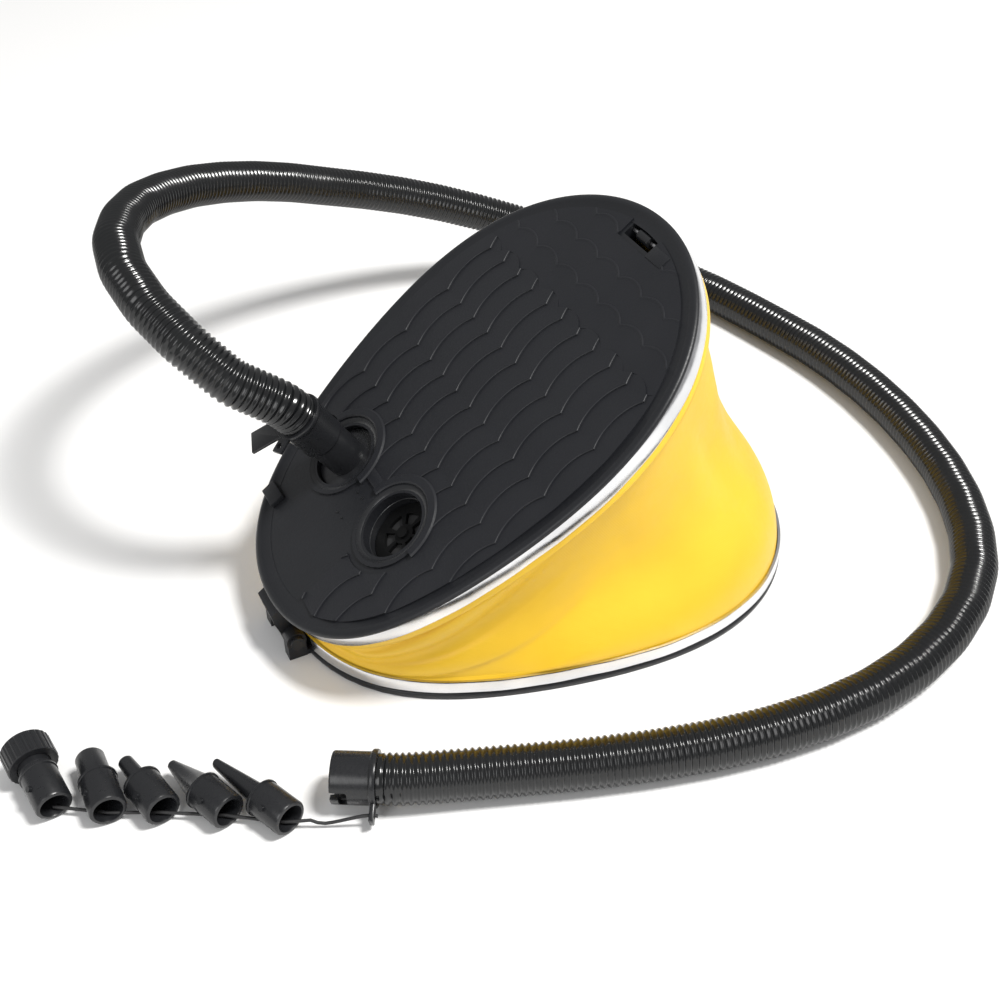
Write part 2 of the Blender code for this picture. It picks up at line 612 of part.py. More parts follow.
def make_spring():
    """A coil bent on an arc about the hinge axis, between the two shells."""
    arm = BASE_X + SPRING_X - HINGE_X
    rise = SPRING_WIRE + 0.0004
    far = arm + SPRING_R
    low = math.asin((FLOOR + rise - HINGE_Z) / far)
    high = OPEN_ANGLE + math.asin((PEDAL_TOP - FLOOR - 0.0008 - rise - HINGE_Z) / far)
    points = []
    steps = round(SPRING_TURNS * 14)
    for step in range(steps + 1):
        share = step / steps
        eased = min(1.0, max(0.0, (share * SPRING_TURNS - 0.85) / (SPRING_TURNS - 1.7)))
        lift = low + (high - low) * eased
        end_pitch = 0.0036 / arm
        lift += end_pitch * min(share * SPRING_TURNS, 0.85)
        lift -= end_pitch * min((1 - share) * SPRING_TURNS, 0.85) * (1 if eased > 0.5 else 0)
        lift = min(max(lift, low), high)
        turn = 2 * math.pi * SPRING_TURNS * share
        reach = arm + SPRING_R * math.cos(turn)
        points.append((HINGE_X + reach * math.cos(lift), SPRING_R * math.sin(turn),
                       HINGE_Z + reach * math.sin(lift)))
    tube_along("return_spring", points, SPRING_WIRE, 2, colour=STEEL, roughness=0.35, metallic=1.0)


BELLOWS_ROWS = [(0.10, 1.000), (0.25, 0.968), (0.40, 0.925), (0.57, 0.892), (0.74, 0.890), (0.90, 0.945)]


def make_bellows():
    """A pinched sleeve of cloth, clamped round both shells and fanned about the hinge axis."""
    work = bmesh.new()
    inset = -(WALL_IN - GAP - CLOTH)
    base_ring = outline(inset, BASE_GROWTH)
    pedal_ring = outline(inset)
    pedal_bottom = PEDAL_TOP - PEDAL_WALL_DEPTH
    levels = [(base_ring, BASE_X, RIM + 0.0006, 0.0, 1.0), (base_ring, BASE_X, BASE_WALL_TOP, 0.0, 1.0)]
    for share, waist in BELLOWS_ROWS:
        mixed = [(b[0] + (p[0] - b[0]) * share, b[1] + (p[1] - b[1]) * share)
                 for b, p in zip(base_ring, pedal_ring)]
        centre = BASE_X + (PEDAL_X - BASE_X) * share
        height = BASE_WALL_TOP + (pedal_bottom - BASE_WALL_TOP) * share
        levels.append((mixed, centre, height, share, waist))
    levels.append((pedal_ring, PEDAL_X, pedal_bottom, 1.0, 1.0))
    levels.append((pedal_ring, PEDAL_X, PEDAL_TOP - RIM - 0.0006, 1.0, 1.0))
    hinge = Vector((HINGE_X, 0, HINGE_Z))
    loops = []
    for points, centre, height, share, waist in levels:
        turn = Matrix.Rotation(-OPEN_ANGLE * share, 4, "Y")
        loop = []
        for x, y in points:
            room = min(1.0, max(0.0, (x + HALF_LENGTH) / HALF_LENGTH - 0.15))
            pinch = 1 - (1 - waist) * room
            flat = Vector((centre + x * pinch, y * pinch, height))
            loop.append(work.verts.new(turn @ (flat - hinge) + hinge))
        loops.append([work.edges.new((loop[i], loop[(i + 1) % len(loop)])) for i in range(len(loop))])
    for lower, upper in zip(loops, loops[1:]):
        bmesh.ops.bridge_loops(work, edges=lower + upper)
    bmesh.ops.recalc_face_normals(work, faces=work.faces)
    mesh = bpy.data.meshes.new("bellows")
    work.to_mesh(mesh)
    work.free()
    sleeve = add("bellows", mesh, colour=YELLOW, roughness=0.45, smooth=60)
    wall = sleeve.modifiers.new("cloth", "SOLIDIFY")
    wall.thickness = CLOTH
    wall.offset = -1.0


make_base()
make_hinge_pin()
make_top_shell()
make_top_band()
make_valve("intake", INTAKE_V, False)
make_valve("outlet", OUTLET_V, True)
make_latch()
make_outlet_pipe()
make_pump_cuff()
make_end_cuff()
make_hose()
make_nozzles()
make_tie()
make_spring()
make_bellows()
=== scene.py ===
"""Looks of the bellows foot pump: tread, bands, cloth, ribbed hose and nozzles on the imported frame."""
import math

import bmesh
import bpy
import numpy as np
from mathutils import Matrix, Vector


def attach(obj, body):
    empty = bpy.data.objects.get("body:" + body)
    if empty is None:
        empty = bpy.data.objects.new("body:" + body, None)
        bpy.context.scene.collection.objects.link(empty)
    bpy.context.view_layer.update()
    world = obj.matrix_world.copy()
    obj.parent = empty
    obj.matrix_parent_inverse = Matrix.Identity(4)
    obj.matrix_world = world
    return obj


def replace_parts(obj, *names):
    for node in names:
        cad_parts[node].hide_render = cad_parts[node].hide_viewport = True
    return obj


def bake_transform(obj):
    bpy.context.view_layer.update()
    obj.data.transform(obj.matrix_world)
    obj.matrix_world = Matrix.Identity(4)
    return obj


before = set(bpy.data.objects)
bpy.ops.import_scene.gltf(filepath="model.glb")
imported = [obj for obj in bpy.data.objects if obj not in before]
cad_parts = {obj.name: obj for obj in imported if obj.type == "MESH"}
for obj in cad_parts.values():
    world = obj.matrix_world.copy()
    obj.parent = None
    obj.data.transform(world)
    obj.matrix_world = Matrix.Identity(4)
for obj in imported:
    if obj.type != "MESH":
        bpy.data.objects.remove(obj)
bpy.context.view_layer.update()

# Sizes shared with the frame, in metres
BASE_X = 0.00805
PEDAL_X = BASE_X - 0.0017
HALF_LENGTH = 0.150
HALF_WIDTH = 0.1203
EGG, BLUNT, TAPER = 0.053, 0.065, -0.030
BASE_GROWTH = 0.0027
HINGE = Vector((BASE_X - 0.1585, 0, 0.0125))
OPEN_ANGLE = math.radians(35.3)
PEDAL_TOP = 0.0337
PORT_U = -0.069
INTAKE_V = -0.028
OUTLET_V = 0.044
CUFF_START = 0.0200
CUFF_LENGTH = 0.0202
FLANGE_THICK = 0.0030
HOSE_R = 0.0135
RIB_PITCH = 0.0036
TIE_R = 0.0009
RINGS_PER_RIB = 5
SEAT_GAP = 0.0003          # daylight where one piece rests on another
EYELET_X = -0.0195         # the tie's eyelet on a cuff
LATCH_U, LATCH_Z = 0.137, 0.0300
LATCH_LEAN = math.radians(-12.0)
FINE = 256                 # steps round the pump's outline

HOSE_ROUTE = [
    (-0.136, 0.046, 0.131), (-0.152, 0.056, 0.148), (-0.166, 0.073, 0.163),
    (-0.176, 0.098, 0.174), (-0.180, 0.127, 0.181), (-0.175, 0.163, 0.183),
    (-0.153, 0.211, 0.176), (-0.115, 0.253, 0.161), (-0.073, 0.283, 0.143),
    (-0.033, 0.302, 0.125), (0.006, 0.313, 0.107), (0.045, 0.318, 0.091),
    (0.083, 0.318, 0.075), (0.120, 0.312, 0.059), (0.163, 0.296, 0.041),
    (0.203, 0.270, 0.027), (0.234, 0.234, 0.018), (0.255, 0.191, 0.0140),
    (0.268, 0.140, 0.0138), (0.278, 0.090, 0.0138), (0.281, 0.035, 0.0138),
    (0.275, -0.025, 0.0138), (0.258, -0.085, 0.0138), (0.227, -0.139, 0.0138),
    (0.184, -0.175, 0.0138), (0.130, -0.196, 0.0138), (0.073, -0.201, 0.0138),
    (0.014, -0.193, 0.0138), (-0.043, -0.177, 0.0139), (-0.096, -0.158, 0.0142),
]
HOSE_END = Vector((-0.1485, -0.1372, 0.0155))
END_DIRECTION = Vector((-0.870, 0.493, 0.0)).normalized()

NOZZLE_PLACES = {
    "nozzle_screw_body": (-0.300, -0.0750, 97.0),
    "nozzle_wide": (-0.2765, -0.0905, 89.5),
    "nozzle_narrow": (-0.2515, -0.1025, 102.0),
    "nozzle_cone": (-0.2225, -0.1190, 110.5),
    "nozzle_slant": (-0.1965, -0.1370, 112.5),
}
BODY_R = 0.00975
SOCKET_R = 0.0072
COLLAR_LEAN = math.radians(7.0)
TIE_HOLE = (0, 0.0056, 0.0042)


def pedal_matrix():
    """From the shut pedal to the open one."""
    turn = Matrix.Rotation(-OPEN_ANGLE, 4, "Y")
    return Matrix.Translation(HINGE) @ turn @ Matrix.Translation(-HINGE)


OPEN = pedal_matrix()

# ---------------------------------------------------------------- camera, floor and light


def make_camera():
    data = bpy.data.cameras.new("camera")
    data.lens = 55.8
    data.sensor_width = 36.0
    camera = bpy.data.objects.new("camera", data)
    camera.location = (-0.3108, -0.6460, 0.6080)
    camera.rotation_euler = [math.radians(a) for a in (51.857, 1.372, -25.793)]
    bpy.context.scene.collection.objects.link(camera)
    bpy.context.scene.camera = camera


def make_light(name, place, aim, size, power, colour=(1, 1, 1)):
    data = bpy.data.lights.new(name, "AREA")
    data.shape = "DISK"
    data.size = size
    data.energy = power
    data.color = colour
    light = bpy.data.objects.new(name, data)
    light.location = place
    light.rotation_euler = (Vector(aim) - Vector(place)).to_track_quat("-Z", "Y").to_euler()
    bpy.context.scene.collection.objects.link(light)


def make_stage():
    """A pale floor, an even white surround and two soft lamps."""
    floor_mesh = bpy.data.meshes.new("floor")
    work = bmesh.new()
    bmesh.ops.create_grid(work, x_segments=1, y_segments=1, size=6.0)
    work.to_mesh(floor_mesh)
    work.free()
    floor = bpy.data.objects.new("floor", floor_mesh)
    bpy.context.scene.collection.objects.link(floor)
    paint = bpy.data.materials.new("pale_floor")
    paint.use_nodes = True
    shader = paint.node_tree.nodes["Principled BSDF"]
    shader.inputs["Base Color"].default_value = (0.90, 0.90, 0.90, 1)
    shader.inputs["Roughness"].default_value = 0.9
    shader.inputs["Specular IOR Level"].default_value = 0.1
    floor_mesh.materials.append(paint)
    world = bpy.data.worlds.new("studio")
    world.use_nodes = True
    world.node_tree.nodes["Background"].inputs["Color"].default_value = (1.0, 1.0, 1.0, 1)
    world.node_tree.nodes["Background"].inputs["Strength"].default_value = 0.40
    bpy.context.scene.world = world
    make_light("key", (1.05, -1.05, 3.10), (0, 0, 0.05), 0.85, 128, (1.0, 0.99, 0.97))
    make_light("fill", (-1.2, -0.9, 0.9), (0, 0, 0.05), 0.9, 7)
    bpy.context.scene.view_settings.view_transform = "Standard"


# ---------------------------------------------------------------- materials


def grain_and_sheen_group():
    """Moulded plastic's fine grain: a lighter and darker tone (on the bright band, a painted mottled
    reflection), a roughness and a bump.
    """
    group = bpy.data.node_groups.new("moulded_grain_and_sheen", "ShaderNodeTree")
    face = group.interface
    for name, kind in (("Dark", "NodeSocketColor"), ("Light", "NodeSocketColor"),
                       ("Smooth", "NodeSocketFloat"), ("Rough", "NodeSocketFloat"),
                       ("Scale", "NodeSocketFloat"), ("Bump", "NodeSocketFloat")):
        face.new_socket(name, in_out="INPUT", socket_type=kind)
    for name, kind in (("Color", "NodeSocketColor"), ("Roughness", "NodeSocketFloat"),
                       ("Normal", "NodeSocketVector")):
        face.new_socket(name, in_out="OUTPUT", socket_type=kind)
    nodes, links = group.nodes, group.links
    inside = nodes.new("NodeGroupInput")
    outside = nodes.new("NodeGroupOutput")
    place = nodes.new("ShaderNodeTexCoord")
    fine = nodes.new("ShaderNodeTexNoise")
    fine.inputs["Detail"].default_value = 4
    broad = nodes.new("ShaderNodeTexNoise")
    broad.inputs["Scale"].default_value = 22
    broad.inputs["Detail"].default_value = 5
    links.new(place.outputs["Object"], fine.inputs["Vector"])
    links.new(place.outputs["Object"], broad.inputs["Vector"])
    links.new(inside.outputs["Scale"], fine.inputs["Scale"])
    # Tone mixed by broad noise: random tone on the plastics, a painted mottled reflection on the bright
    # band
    tone = nodes.new("ShaderNodeMix")
    tone.data_type = "RGBA"
    links.new(broad.outputs["Fac"], tone.inputs[0])
    links.new(inside.outputs["Dark"], tone.inputs[6])
    links.new(inside.outputs["Light"], tone.inputs[7])
    links.new(tone.outputs[2], outside.inputs["Color"])
    both = nodes.new("ShaderNodeMath")
    both.operation = "ADD"
    links.new(fine.outputs["Fac"], both.inputs[0])
    links.new(broad.outputs["Fac"], both.inputs[1])
    worn = nodes.new("ShaderNodeMapRange")
    worn.inputs["From Min"].default_value = 0.7
    worn.inputs["From Max"].default_value = 1.3
    links.new(both.outputs[0], worn.inputs["Value"])
    links.new(inside.outputs["Smooth"], worn.inputs["To Min"])
    links.new(inside.outputs["Rough"], worn.inputs["To Max"])
    links.new(worn.outputs["Result"], outside.inputs["Roughness"])
    bump = nodes.new("ShaderNodeBump")
    bump.inputs["Distance"].default_value = 0.0004
    links.new(inside.outputs["Bump"], bump.inputs["Strength"])
    links.new(fine.outputs["Fac"], bump.inputs["Height"])
    links.new(bump.outputs["Normal"], outside.inputs["Normal"])
    return group


GRAIN_AND_SHEEN = grain_and_sheen_group()


def finish(name, dark, light, smooth, rough, scale, bump, metallic=0.0, coat=0.0, specular=0.5):
    """A material on the shared grain group: grain on the plastics, a painted mottled reflection on the
    bright band.
    """
    mat = bpy.data.materials.new(name)
    mat.use_nodes = True
    nodes, links = mat.node_tree.nodes, mat.node_tree.links
    shader = nodes["Principled BSDF"]
    grain = nodes.new("ShaderNodeGroup")
    grain.node_tree = GRAIN_AND_SHEEN
    for socket, value in (("Dark", (*dark, 1)), ("Light", (*light, 1)), ("Smooth", smooth),
                          ("Rough", rough), ("Scale", scale), ("Bump", bump)):
        grain.inputs[socket].default_value = value
    for output, socket in (("Color", "Base Color"), ("Roughness", "Roughness"), ("Normal", "Normal")):
        links.new(grain.outputs[output], shader.inputs[socket])
    shader.inputs["Metallic"].default_value = metallic
    shader.inputs["Coat Weight"].default_value = coat
    shader.inputs["Coat Roughness"].default_value = 0.12
    shader.inputs["Specular IOR Level"].default_value = specular
    return mat


def coated_cloth():
    """Yellow coated cloth: a fine weave under a satin skin, its tone varying at random."""
    mat = finish("yellow_cloth", (0.80, 0.48, 0.018), (0.96, 0.62, 0.035), 0.38, 0.52, 260, 0.10)
    nodes, links = mat.node_tree.nodes, mat.node_tree.links
    shader = nodes["Principled BSDF"]
    place = nodes.new("ShaderNodeTexCoord")
    warp = nodes.new("ShaderNodeTexWave")
    warp.bands_direction = "Z"
    warp.inputs["Scale"].default_value = 380
    weft = nodes.new("ShaderNodeTexWave")
    weft.bands_direction = "DIAGONAL"
    weft.inputs["Scale"].default_value = 380
    weave = nodes.new("ShaderNodeMath")
    weave.operation = "ADD"
    bump = nodes.new("ShaderNodeBump")
    bump.inputs["Distance"].default_value = 0.0002
    bump.inputs["Strength"].default_value = 0.12
    for wave in (warp, weft):
        links.new(place.outputs["Object"], wave.inputs["Vector"])
    links.new(warp.outputs["Fac"], weave.inputs[0])
    links.new(weft.outputs["Fac"], weave.inputs[1])
    links.new(weave.outputs[0], bump.inputs["Height"])
    links.new(shader.inputs["Normal"].links[0].from_socket, bump.inputs["Normal"])
    links.new(bump.outputs["Normal"], shader.inputs["Normal"])
    return mat


TREAD_BLACK = finish("tread_black", (0.0085, 0.0092, 0.0118), (0.0135, 0.0143, 0.0175), 0.42, 0.56, 900,
                     0.22, specular=0.36)
SHELL_BLACK = finish("shell_black", (0.0085, 0.0092, 0.0112), (0.0130, 0.0138, 0.0165), 0.34, 0.48, 700,
                     0.18, specular=0.40)
GLOSS_BLACK = finish("gloss_black", (0.0100, 0.0105, 0.0120), (0.0160, 0.0166, 0.0185), 0.24, 0.36, 500,
                     0.06, specular=0.45)
# Painted shade: near-black, far darker than the shells, for the grids and pegs down in the ports where
# shade falls
PORT_SHADE_BLACK = finish("port_shade_black", (0.0020, 0.0021, 0.0023), (0.0040, 0.0041, 0.0044), 0.45, 0.60, 500,
                    0.10, specular=0.2)
HOSE_BLACK = finish("hose_black", (0.0050, 0.0054, 0.0060), (0.0085, 0.0092, 0.0100), 0.15, 0.24, 400,
                    0.04, specular=0.5)
# Painted reflection: the band's metal colour mottles from mid grey to near white, painting dark mottled
# reflections into it
BRIGHT_BAND = finish("bright_band", (0.42, 0.43, 0.45), (0.96, 0.96, 0.97), 0.12, 0.28, 120, 0.30,
                     metallic=1.0)
STEEL = finish("steel", (0.50, 0.50, 0.51), (0.64, 0.64, 0.65), 0.25, 0.40, 600, 0.2, metallic=1.0)
SOFT_RUBBER = finish("soft_rubber", (0.014, 0.014, 0.015), (0.026, 0.026, 0.027), 0.55, 0.75, 500, 0.3)
CLOTH = coated_cloth()

# ---------------------------------------------------------------- shaping


def piece(name, work, paint, smooth=35, place=None):
    """Turn a bmesh into a finished piece with its place in its mesh."""
    if place is not None:
        bmesh.ops.transform(work, matrix=place, verts=work.verts)
    mesh = bpy.data.meshes.new(name)
    work.to_mesh(mesh)
    work.free()
    mesh.shade_smooth()
    mesh.set_sharp_from_angle(angle=math.radians(smooth))
    mesh.materials.append(paint)
    obj = bpy.data.objects.new(name, mesh)
    bpy.context.scene.collection.objects.link(obj)
    return obj


def carve(work, cutters, operation="DIFFERENCE"):
    """Boolean a bmesh with others and give back the result as a bmesh."""
    def holder(part):
        mesh = bpy.data.meshes.new("blank")
        part.to_mesh(mesh)
        part.free()
        obj = bpy.data.objects.new("blank", mesh)
        bpy.context.scene.collection.objects.link(obj)
        return obj
    body = holder(work)
    tools = [holder(cutter) for cutter in cutters]
    for tool in tools:
        step = body.modifiers.new("carve", "BOOLEAN")
        step.operation = operation
        step.solver = "EXACT"
        step.object = tool
    bpy.context.view_layer.update()
    result = bmesh.new()
    evaluated = body.evaluated_get(bpy.context.evaluated_depsgraph_get())
    result.from_mesh(evaluated.to_mesh())
    evaluated.to_mesh_clear()
    for obj in (body, *tools):
        bpy.data.objects.remove(obj)
    return result


def spun(profile, steps=64, place=None):
    """A closed (radius, height) profile spun about Z into a closed body."""
    work = bmesh.new()
    ring = [work.verts.new((r, 0, z)) for r, z in profile]
    edges = [work.edges.new((a, b)) for a, b in zip(ring, ring[1:] + ring[:1])]
    bmesh.ops.spin(work, geom=ring + edges, cent=(0, 0, 0), axis=(0, 0, 1), angle=2 * math.pi,
                   steps=steps, use_merge=True)
    bmesh.ops.remove_doubles(work, verts=work.verts, dist=0.000005)
    bmesh.ops.recalc_face_normals(work, faces=work.faces)
    if place is not None:
        bmesh.ops.transform(work, matrix=place, verts=work.verts)
    return work


def arc_block(profile, start, sweep, steps=40):
    """A (radius, height) profile swept part of a turn about Z, with flat ends."""
    work = bmesh.new()
    face = work.faces.new([work.verts.new((r, 0, z)) for r, z in profile])
    bmesh.ops.rotate(work, verts=work.verts, cent=(0, 0, 0), matrix=Matrix.Rotation(start, 3, "Z"))
    bmesh.ops.spin(work, geom=[face] + list(face.edges) + list(face.verts), cent=(0, 0, 0),
                   axis=(0, 0, 1), angle=sweep, steps=steps)
    bmesh.ops.recalc_face_normals(work, faces=work.faces)
    return work


def block(low, high, place=None, bevel=0.0):
    """A block between two corners, its edges softened."""
    work = bmesh.new()
    bmesh.ops.create_cube(work, size=1.0)
    bmesh.ops.scale(work, verts=work.verts, vec=[high[i] - low[i] for i in range(3)])
    bmesh.ops.translate(work, verts=work.verts, vec=[(high[i] + low[i]) / 2 for i in range(3)])
    if bevel:
        bmesh.ops.bevel(work, geom=work.edges[:], offset=bevel, offset_type="OFFSET", segments=2,
                        profile=0.5, affect="EDGES", material=-1)
    if place is not None:
        bmesh.ops.transform(work, matrix=place, verts=work.verts)
    return work


def rod(radius, start, end, sides=24):
    """A round bar between two points."""
    start, end = Vector(start), Vector(end)
    work = bmesh.new()
    bmesh.ops.create_cone(work, cap_ends=True, segments=sides, radius1=radius, radius2=radius,
                          depth=(end - start).length)
    turn = (end - start).to_track_quat("Z", "Y").to_matrix().to_4x4()
    bmesh.ops.transform(work, matrix=Matrix.Translation((start + end) / 2) @ turn, verts=work.verts)
    return work


def outline_point(t, offset, growth=0.0):
    """A point of the egg-shaped outline at a turn, set out by an offset."""
    a = HALF_LENGTH + growth + offset
    b = HALF_WIDTH + growth + offset
    swell = 1 + EGG * math.cos(t) + BLUNT * math.cos(2 * t) + TAPER * math.cos(3 * t)
    return a * math.cos(t), b * math.sin(t) * swell


def hoop(profile, centre_x, growth=0.0):
    """A closed (offset, height) section carried round the pump's outline: spun, then eased to it."""
    work = spun([(1 + offset, z) for offset, z in profile], FINE)
    for vert in work.verts:
        turn = math.atan2(vert.co.y, vert.co.x)
        x, y = outline_point(turn, math.hypot(vert.co.x, vert.co.y) - 1, growth)
        vert.co.x, vert.co.y = x + centre_x, y
    bmesh.ops.recalc_face_normals(work, faces=work.faces)
    return work


def plate(offset, low, high, steps=128):
    """The pedal's outline given height."""
    work = bmesh.new()
    points = [outline_point(2 * math.pi * step / steps, offset) for step in range(steps)]
    floor = work.faces.new([work.verts.new((x + PEDAL_X, y, low)) for x, y in points])
    raised = bmesh.ops.extrude_face_region(work, geom=[floor])
    lifted = [part for part in raised["geom"] if isinstance(part, bmesh.types.BMVert)]
    bmesh.ops.translate(work, verts=lifted, vec=(0, 0, high - low))
    bmesh.ops.recalc_face_normals(work, faces=work.faces)
    return work


def smooth_points(route, spacing):
    """Evenly spaced points on a smooth curve through the route's points."""
    route = [Vector(p) for p in route]
    padded = [2 * route[0] - route[1]] + route + [2 * route[-1] - route[-2]]
    fine = []
    for i in range(1, len(padded) - 2):
        a, b, c, d = padded[i - 1:i + 3]
        for step in range(40):
            t = step / 40
            fine.append(0.5 * ((2 * b) + (c - a) * t + (2 * a - 5 * b + 4 * c - d) * t * t
                               + (3 * b - a - 3 * c + d) * t ** 3))
    fine.append(route[-1])
    return even_points(fine, spacing)


def even_points(line, spacing):
    """The same line with its points evenly spaced."""
    table = np.array([tuple(p) for p in line])
    steps = np.linalg.norm(np.diff(table, axis=0), axis=1)
    lengths = np.concatenate([[0], np.cumsum(steps)])
    count = max(2, round(lengths[-1] / spacing))
    wanted = np.linspace(0, lengths[-1], count + 1)
    return [Vector([float(np.interp(w, lengths, table[:, k])) for k in range(3)]) for w in wanted]


def relaxed(line, reach):
    """The line with its corners eased over some points each way, its ends held."""
    table = np.array([tuple(p) for p in line])
    head = 2 * table[0] - table[reach:0:-1]
    tail = 2 * table[-1] - table[-2:-reach - 2:-1]
    window = np.hanning(2 * reach + 3)[1:-1]
    window /= window.sum()
    long = np.vstack([head, table, tail])
    eased = np.stack([np.convolve(long[:, k], window, mode="valid") for k in range(3)], axis=1)
    return [Vector(tuple(map(float, p))) for p in eased]


def skin(work, loops, capped=True):
    """Faces from each ring of points to the next, with the ends closed when capped."""
    count = len(loops[0])
    for lower, upper in zip(loops, loops[1:]):
        for i in range(count):
            j = (i + 1) % count
            work.faces.new((lower[i], lower[j], upper[j], upper[i]))
    if capped:
        work.faces.new(loops[0])
        work.faces.new(loops[-1])
    bmesh.ops.recalc_face_normals(work, faces=work.faces)


# ---------------------------------------------------------------- hose


def hose_path():
    """The hose's centre line, from the pump's cuff to the free one."""
    start = OPEN @ Vector((PEDAL_X + PORT_U, OUTLET_V,
                           PEDAL_TOP + CUFF_START + CUFF_LENGTH + FLANGE_THICK + SEAT_GAP))
    out = (OPEN.to_3x3() @ Vector((0, 0, 1))).normalized()
    ends = 0.012
    coarse = smooth_points([start + out * ends, *HOSE_ROUTE, HOSE_END - END_DIRECTION * ends], 0.032)
    line = even_points([start, *coarse, HOSE_END], RIB_PITCH / RINGS_PER_RIB)
    return relaxed(line, 14)


def make_hose():
    """Corrugated hose: rings carried along the route, five to a rib."""
    sides = 30
    centre = hose_path()
    work = bmesh.new()
    side = Vector((0, 1, 0))
    loops, shares = [], []
    depth = (0.0, 0.00035, 0.0013, 0.0013, 0.00035)
    held, freed = 0.03, 0.52          # a share easing in along the hose after its first few centimetres; worked out but not used
    for index, point in enumerate(centre):
        before = centre[max(0, index - 1)]
        after = centre[min(len(centre) - 1, index + 1)]
        along = (after - before).normalized()
        side = (side - along * side.dot(along)).normalized()
        up = along.cross(side)
        radius = HOSE_R - depth[index % RINGS_PER_RIB]
        if index < 3 or index > len(centre) - 4:
            radius = HOSE_R - 0.0006
        ring = []
        for step in range(sides):
            turn = 2 * math.pi * step / sides
            ring.append(work.verts.new(point + (side * math.cos(turn) + up * math.sin(turn)) * radius))
        loops.append(ring)
        travelled = index * RIB_PITCH / RINGS_PER_RIB
        share = min(1.0, max(0.0, (travelled - held) / freed))
        shares += [1 - share * share * (3 - 2 * share)] * sides
    skin(work, loops)
    hose = piece("corrugated_hose", work, HOSE_BLACK, smooth=75)
    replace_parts(hose, "hose")
    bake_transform(hose)
    return hose, centre


def nozzle_frame(name):
    x, y, heading = NOZZLE_PLACES[name]
    turn = math.radians(heading)
    tip = Vector((math.cos(turn), math.sin(turn), 0))
    up = Vector((0, 0, 1))
    if name == "nozzle_screw_body":
        rise, run = math.sin(COLLAR_LEAN), math.cos(COLLAR_LEAN)
        tip, up = tip * run + up * rise, up * run - tip * rise
    place = Matrix((tip.cross(up), -up, tip)).transposed().to_4x4()
    place.translation = (x, y, BODY_R + SEAT_GAP)
    return place


def end_cuff_frame():
    back = -END_DIRECTION
    side = Vector((0, 0, 1)).cross(back).normalized()
    low = math.radians(22)
    x_axis = side * math.cos(low) + Vector((0, 0, 1)) * math.sin(low)
    place = Matrix((x_axis, back.cross(x_axis), back)).transposed().to_4x4()
    place.translation = HOSE_END + END_DIRECTION * (CUFF_LENGTH + FLANGE_THICK + SEAT_GAP)
    return place


def make_tie():
    """The thin line that strings the nozzles to the free cuff's eyelet."""
    points = [nozzle_frame(name) @ Vector(TIE_HOLE) for name in NOZZLE_PLACES]
    last = points[-1]
    anchor = end_cuff_frame() @ Vector((EYELET_X, 0, CUFF_LENGTH - 0.0020))
    sag = (last + anchor) / 2
    sag.z = 0.0030
    through = end_cuff_frame() @ Vector((EYELET_X, 0, CUFF_LENGTH + 0.0045))
    loose = smooth_points([last + (anchor - last).normalized() * 0.0125, sag, anchor, through], 0.004)
    route = [*points, *loose]
    curve = bpy.data.curves.new("tie_line", "CURVE")
    curve.dimensions = "3D"
    curve.bevel_depth = TIE_R
    curve.bevel_resolution = 3
    curve.use_fill_caps = True
    spline = curve.splines.new("POLY")
    route.reverse()
    spline.points.add(len(route) - 1)
    for point, place in zip(spline.points, route):
        point.co = (*place, 1)
    curve.materials.append(SOFT_RUBBER)
    tie = bpy.data.objects.new("tie_line", curve)
    bpy.context.scene.collection.objects.link(tie)
    length = sum((b - a).length for a, b in zip(route, route[1:]))
    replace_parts(tie, "tie_cord")
    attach(tie, "base")
    return tie, route[0], length


make_camera()
make_stage()
hose, hose_line = make_hose()
tie, tie_start, tie_length = make_tie()

# ---------------------------------------------------------------- treadle


def finish_on_pedal(name, work, paint, smooth=35):
    """A piece shaped on the shut pedal, swung open and carried by it."""
    obj = piece(name, work, paint, smooth, OPEN)
    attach(obj, "pedal")
    return obj


SCALLOP = 0.0346           # one arc's length
END_SCALLOP = 0.0240       # the same across the open end
ARC_STEPS = 24             # points along an arc
ROW = 0.0179               # rows' spacing
ARC = 0.0050               # an arc's bulge
STEP = 0.0011              # how high each shingle's edge stands
BORDER = 0.0085            # plain strip left inside the rim
TREAD_LOW = PEDAL_TOP - 0.0006

# Sections across one row: share of the row's spacing, share of the step's height
SHINGLE = ((0.0, 0.0), (0.035, 0.02), (0.5, 0.50), (0.920, 0.96), (0.950, 0.99), (0.972, 0.93),
           (0.990, 0.66))
BEAD = ((0.0, 0.10), (0.018, 0.46), (0.050, 0.62), (0.085, 0.50), (0.120, 0.34), (0.16, 0.30),
        (0.5, 0.24), (0.95, 0.10))


def shingles(columns, rows, arc, height_base, steps, shift=0.0):
    """Overlapping rows of scallops: a grid whose rows run along the arcs, each stepping down."""
    lines = len(steps) * rows
    work = bmesh.new()
    bmesh.ops.create_grid(work, x_segments=columns, y_segments=lines - 1, size=0.5)
    for vert in work.verts:
        column = (vert.co.x + 0.5) * columns
        line = round((vert.co.y + 0.5) * (lines - 1))
        row, part = divmod(line, len(steps))
        drop, rise = steps[part]
        place = column / ARC_STEPS
        inside = ((place - shift * (row + drop)) % 1.0) * 2 - 1
        bulge = arc * (1 - abs(inside) ** 2.2)
        vert.co.x = place
        vert.co.y = -(row + drop) * ROW + bulge
        vert.co.z = height_base + STEP * rise
    top = work.faces[:]
    sunk = bmesh.ops.extrude_face_region(work, geom=top)
    lowered = [part for part in sunk["geom"] if isinstance(part, bmesh.types.BMVert)]
    for vert in lowered:
        vert.co.z = TREAD_LOW
    bmesh.ops.recalc_face_normals(work, faces=work.faces)
    return work


def region(inset, u_low, u_high):
    """The pedal's field between two lines across it."""
    return carve(plate(-inset, PEDAL_TOP - 0.0003, PEDAL_TOP + 0.006),
                 [block((PEDAL_X + u_low, -0.2, 0), (PEDAL_X + u_high, 0.2, 0.1))], "INTERSECT")


